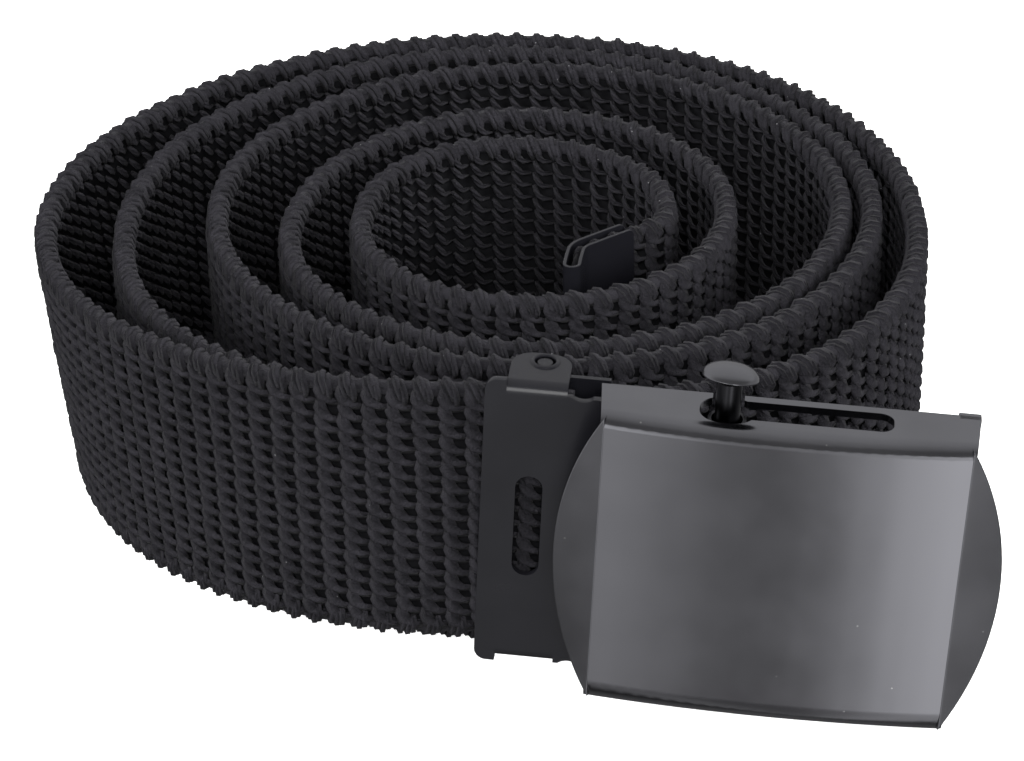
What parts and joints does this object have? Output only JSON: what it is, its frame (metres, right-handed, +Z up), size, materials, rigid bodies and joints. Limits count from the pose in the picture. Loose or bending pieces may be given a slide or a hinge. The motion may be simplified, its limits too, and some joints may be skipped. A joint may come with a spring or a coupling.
{
  "type": "canvas web belt",
  "caption": "Black canvas web belt rolled up on its edge, with a blackened box buckle clamped to one end and a metal tip on the other.",
  "frame": {"origin": "on the surface that the belt stands on, in the middle of its outline seen from above", "axes": "+Z up, -Y towards the buckle, +X to the right when looking at the buckle"},
  "size_m": [0.1048, 0.1168, 0.0422],
  "materials": {
    "canvas": "black woven cotton webbing, matt",
    "blackened_sheet": "blackened sheet steel, satin",
    "blackened_bar": "blackened turned steel, satin"
  },
  "bodies": {
    "belt": {"webbing": "canvas", "belt_tip": "blackened_sheet", "buckle_cover": "blackened_sheet", "end_clamp": "blackened_sheet", "back_frame": "blackened_sheet"},
    "slider": {"slider_bar": "blackened_bar", "slider_knob": "blackened_bar"}
  },
  "joints": [
    {"name": "slider_slide", "type": "slide", "parent": "belt", "child": "slider", "axis": [0.991, -0.119, -0.061], "range_m": [-0.0004, 0.0143]}
  ]
}
